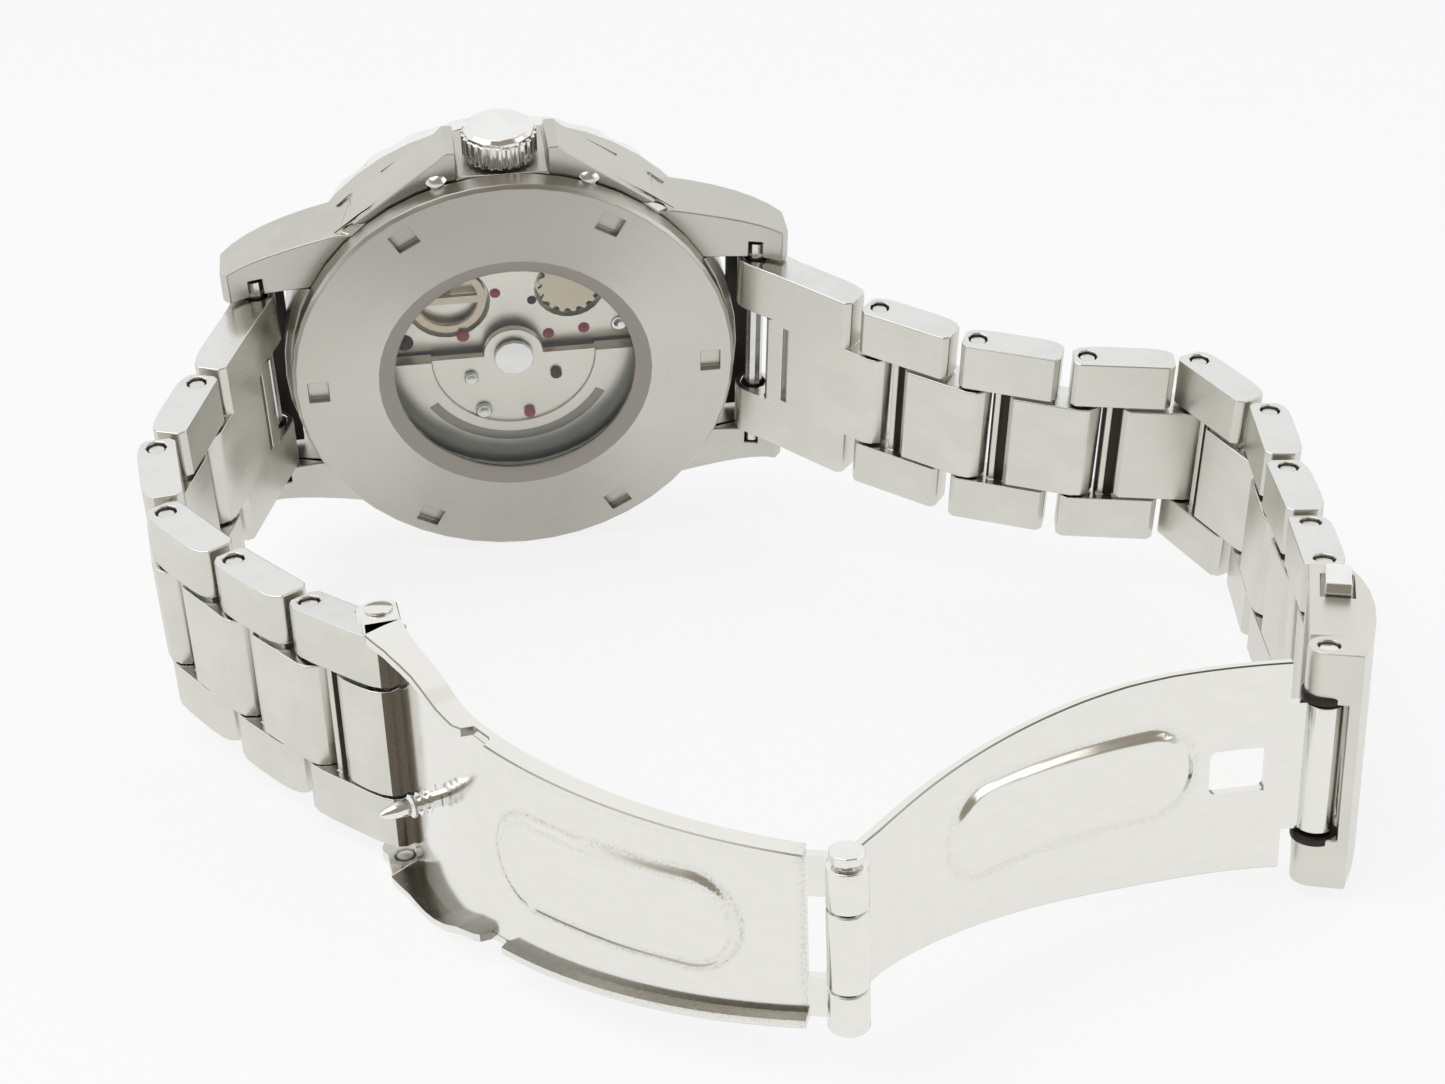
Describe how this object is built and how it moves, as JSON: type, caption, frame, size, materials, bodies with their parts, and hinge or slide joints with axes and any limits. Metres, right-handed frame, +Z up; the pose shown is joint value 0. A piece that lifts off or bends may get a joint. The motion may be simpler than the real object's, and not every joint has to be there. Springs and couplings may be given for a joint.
{
  "type": "diving watch",
  "caption": "Automatic steel diver's watch with a display back, turning bezel, three-row link bracelet and open tri-fold push-button clasp.",
  "frame": {"origin": "on the floor under the middle of the bounding box", "axes": "+Z up, +X from the six towards the twelve o'clock side, +Y towards the dial side; the watch stands on its nine o'clock edge"},
  "size_m": [0.0882, 0.095, 0.0409],
  "materials": {
    "brushed_steel": "brushed",
    "glass": "clear",
    "rubber": "matte",
    "polished_steel": "polished",
    "movement_steel": "plated and grained",
    "bezel_paint": "gloss black",
    "dial_paint": "satin black",
    "brass": "satin",
    "sheet_steel": "pressed and lightly polished"
  },
  "bodies": {
    "case": {"mid_case": "brushed_steel", "case_back": "brushed_steel", "back_crystal": "glass", "back_gasket": "rubber", "front_crystal": "glass", "crystal_gasket": "rubber", "rehaut_ring": "brushed_steel", "dial": "dial_paint", "movement_ring": "movement_steel", "main_plate": "movement_steel", "train_bridge": "movement_steel", "rotor_axle": "movement_steel", "spring_bar_left": "polished_steel", "spring_bar_right": "polished_steel"},
    "bezel": {"bezel": "polished_steel", "bezel_insert": "bezel_paint"},
    "stem": {"winding_stem": "movement_steel"},
    "crown": {"crown": "polished_steel"},
    "rotor": {"rotor": "movement_steel"},
    "balance_wheel": {"balance_wheel": "brass"},
    "reduction_gear": {"reduction_gear": "brass"},
    "hour_hand": {"hour_hand": "polished_steel"},
    "minute_hand": {"minute_hand": "polished_steel"},
    "second_hand": {"second_hand": "polished_steel"},
    "end_link_left": {"end_link_left": "brushed_steel"},
    "link_left_1": {"link_left_1": "brushed_steel", "pin_left_1": "polished_steel"},
    "link_left_2": {"link_left_2": "brushed_steel", "pin_left_2": "polished_steel"},
    "link_left_3": {"link_left_3": "brushed_steel", "pin_left_3": "polished_steel"},
    "link_left_4": {"link_left_4": "brushed_steel", "pin_left_4": "polished_steel"},
    "link_left_5": {"link_left_5": "brushed_steel", "pin_left_5": "polished_steel", "clasp_end_pin": "polished_steel"},
    "end_link_right": {"end_link_right": "brushed_steel"},
    "link_right_1": {"link_right_1": "brushed_steel", "pin_right_1": "polished_steel"},
    "link_right_2": {"link_right_2": "brushed_steel", "pin_right_2": "polished_steel"},
    "link_right_3": {"link_right_3": "brushed_steel", "pin_right_3": "polished_steel"},
    "link_right_4": {"link_right_4": "brushed_steel", "pin_right_4": "polished_steel"},
    "link_right_5": {"link_right_5": "brushed_steel", "pin_right_5": "polished_steel"},
    "link_right_6": {"link_right_6": "brushed_steel", "pin_right_6": "polished_steel"},
    "link_right_7": {"link_right_7": "brushed_steel", "pin_right_7": "polished_steel", "cover_pin": "polished_steel"},
    "clasp_cover": {"clasp_cover": "brushed_steel", "cover_hinge_pin": "polished_steel"},
    "outer_blade": {"outer_blade": "sheet_steel"},
    "inner_blade": {"inner_blade": "sheet_steel", "catch_post": "polished_steel", "middle_hinge_pin": "polished_steel"},
    "push_button_upper": {"push_button_upper": "polished_steel"},
    "push_button_lower": {"push_button_lower": "polished_steel"}
  },
  "joints": [
    {"name": "bezel_turn", "type": "hinge", "parent": "case", "child": "bezel", "pos_m": [-0.01423, 0.03037, 0.01799], "axis": [0, 0.9563, 0.2924], "continuous": true},
    {"name": "crown_pull", "type": "slide", "parent": "case", "child": "stem", "axis": [0, -0.2924, 0.9563], "range_m": [0, 0.0012]},
    {"name": "crown_turn", "type": "hinge", "parent": "stem", "child": "crown", "pos_m": [-0.01423, 0.02959, 0.03866], "axis": [0, -0.2924, 0.9563], "continuous": true},
    {"name": "rotor_turn", "type": "hinge", "parent": "case", "child": "rotor", "pos_m": [-0.01423, 0.03037, 0.01799], "axis": [0, 0.9563, 0.2924], "continuous": true},
    {"name": "reduction_gear_turn", "type": "hinge", "parent": "case", "child": "reduction_gear", "pos_m": [-0.00903, 0.02873, 0.02334], "axis": [0, 0.9563, 0.2924], "continuous": true},
    {"name": "balance_turn", "type": "hinge", "parent": "case", "child": "balance_wheel", "pos_m": [-0.01954, 0.02891, 0.02277], "axis": [0, 0.9563, 0.2924], "range_deg": [-150, 150]},
    {"name": "minute_turn", "type": "hinge", "parent": "case", "child": "minute_hand", "pos_m": [-0.01423, 0.03037, 0.01799], "axis": [0, 0.9563, 0.2924], "continuous": true},
    {"name": "hour_turn", "type": "hinge", "parent": "case", "child": "hour_hand", "pos_m": [-0.01423, 0.03037, 0.01799], "axis": [0, 0.9563, 0.2924], "continuous": true},
    {"name": "second_turn", "type": "hinge", "parent": "case", "child": "second_hand", "pos_m": [-0.01423, 0.03037, 0.01799], "axis": [0, 0.9563, 0.2924], "continuous": true},
    {"name": "end_link_left_turn", "type": "hinge", "parent": "case", "child": "end_link_left", "pos_m": [-0.03524, 0.03257, 0.01866], "axis": [0, 0.295, -0.9555], "range_deg": [0, 30]},
    {"name": "link_left_1_turn", "type": "hinge", "parent": "end_link_left", "child": "link_left_1", "pos_m": [-0.03975, 0.02133, 0.01519], "axis": [0, 0.2448, -0.9696], "range_deg": [0, 19]},
    {"name": "link_left_2_turn", "type": "hinge", "parent": "link_left_1", "child": "link_left_2", "pos_m": [-0.04253, 0.01303, 0.01309], "axis": [0, 0.2006, -0.9797], "range_deg": [0, 41]},
    {"name": "link_left_3_turn", "type": "hinge", "parent": "link_left_2", "child": "link_left_3", "pos_m": [-0.04143, 0.00428, 0.0113], "axis": [0, 0.1475, -0.9891], "range_deg": [0, 43]},
    {"name": "link_left_4_turn", "type": "hinge", "parent": "link_left_3", "child": "link_left_4", "pos_m": [-0.0364, -0.0031, 0.0102], "axis": [0, 0.0885, -0.9961], "range_deg": [0, 18]},
    {"name": "link_left_5_turn", "type": "hinge", "parent": "link_left_4", "child": "link_left_5", "pos_m": [-0.03111, -0.01035, 0.00956], "axis": [0, 0, -1], "range_deg": [0, 21]},
    {"name": "end_link_right_turn", "type": "hinge", "parent": "case", "child": "end_link_right", "pos_m": [0.00677, 0.03257, 0.01866], "axis": [0, -0.2917, 0.9565], "range_deg": [0, 15]},
    {"name": "link_right_1_turn", "type": "hinge", "parent": "end_link_right", "child": "link_right_1", "pos_m": [0.01568, 0.02405, 0.01606], "axis": [0, -0.2713, 0.9625], "range_deg": [0, 10]},
    {"name": "link_right_2_turn", "type": "hinge", "parent": "link_right_1", "child": "link_right_2", "pos_m": [0.02267, 0.0186, 0.01452], "axis": [0, -0.2479, 0.9688], "range_deg": [0, 2]},
    {"name": "link_right_3_turn", "type": "hinge", "parent": "link_right_2", "child": "link_right_3", "pos_m": [0.03083, 0.01491, 0.01358], "axis": [0, -0.2217, 0.9751], "range_deg": [0, 4]},
    {"name": "link_right_4_turn", "type": "hinge", "parent": "link_right_3", "child": "link_right_4", "pos_m": [0.03959, 0.01294, 0.01313], "axis": [0, -0.1896, 0.9819], "range_deg": [0, 74]},
    {"name": "link_right_5_turn", "type": "hinge", "parent": "link_right_4", "child": "link_right_5", "pos_m": [0.04253, 0.00458, 0.01152], "axis": [0, -0.14, 0.9901], "range_deg": [0, 46]},
    {"name": "link_right_6_turn", "type": "hinge", "parent": "link_right_5", "child": "link_right_6", "pos_m": [0.04081, -0.00417, 0.01028], "axis": [0, -0.0817, 0.9967], "range_deg": [0, 15]},
    {"name": "link_right_7_turn", "type": "hinge", "parent": "link_right_6", "child": "link_right_7", "pos_m": [0.03925, -0.013, 0.00956], "axis": [0, 0, 1], "range_deg": [0, 20]},
    {"name": "clasp_cover_turn", "type": "hinge", "parent": "link_right_7", "child": "clasp_cover", "pos_m": [0.03772, -0.01911, 0.00956], "axis": [0, 0, 1], "range_deg": [0, 24]},
    {"name": "outer_blade_fold", "type": "hinge", "parent": "clasp_cover", "child": "outer_blade", "pos_m": [0.03246, -0.03241, 0.00956], "axis": [0, 0, -1], "range_deg": [0, 103.3]},
    {"name": "inner_blade_fold", "type": "hinge", "parent": "outer_blade", "child": "inner_blade", "pos_m": [-0.00118, -0.04633, 0.00956], "axis": [0, 0, 1], "range_deg": [0, 248.4]},
    {"name": "push_button_upper_press", "type": "slide", "parent": "clasp_cover", "child": "push_button_upper", "axis": [0, 0, -1], "range_m": [0, 0.0007], "stiffness_N_per_m": 3000, "springref_m": -0.0003},
    {"name": "push_button_lower_press", "type": "slide", "parent": "clasp_cover", "child": "push_button_lower", "axis": [0, 0, 1], "range_m": [0, 0.0007], "stiffness_N_per_m": 3000, "springref_m": -0.0003}
  ],
  "couplings": [
    {"joint": "hour_turn", "follows": "minute_turn", "ratio": 0.083333},
    {"joint": "reduction_gear_turn", "follows": "rotor_turn", "ratio": -1.5},
    {"joint": "inner_blade_fold", "follows": "outer_blade_fold", "ratio": 2.4045}
  ]
}
